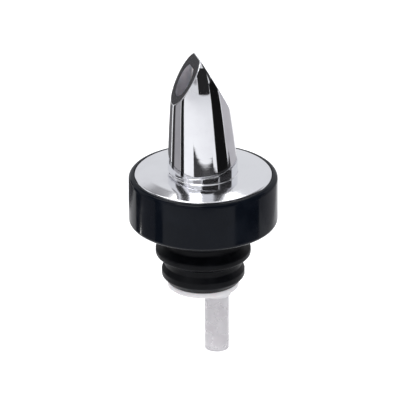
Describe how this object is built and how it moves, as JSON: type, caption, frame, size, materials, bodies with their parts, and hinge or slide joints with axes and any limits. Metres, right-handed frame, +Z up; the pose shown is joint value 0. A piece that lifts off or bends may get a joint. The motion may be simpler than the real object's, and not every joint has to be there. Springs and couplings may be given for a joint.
{
  "type": "liquor pour spout",
  "caption": "Bottle pour spout with a leaning two-way metal nose, a metal disc, a turning plastic collar, a ribbed cork sleeve and an offset air tube.",
  "frame": {"origin": "centre of the collar's underside, where the spout sits on the bottle's lip", "axes": "+Z up the spout's axis to its tip; -X the side the liquid leaves; +X the side of the air tube"},
  "size_m": [0.035, 0.035, 0.0758],
  "materials": {
    "chrome": "polished chrome plate",
    "black_gloss": "glossy moulded black plastic",
    "natural_plastic": "milky natural polypropylene",
    "clear_tube": "clear extruded plastic tube, slightly milky",
    "black_rubber": "satin black moulded elastomer"
  },
  "bodies": {
    "spout": {"nose": "chrome", "top_disc": "chrome", "core": "natural_plastic", "cork": "black_rubber"},
    "collar": {"collar": "black_gloss"},
    "air_tube": {"air_tube": "clear_tube"}
  },
  "joints": [
    {"name": "collar_turn", "type": "hinge", "parent": "spout", "child": "collar", "pos_m": [0, 0, 0], "axis": [0, 0, 1], "continuous": true},
    {"name": "air_tube_pull", "type": "slide", "parent": "spout", "child": "air_tube", "axis": [0, 0, -1], "range_m": [0, 0.006]}
  ]
}
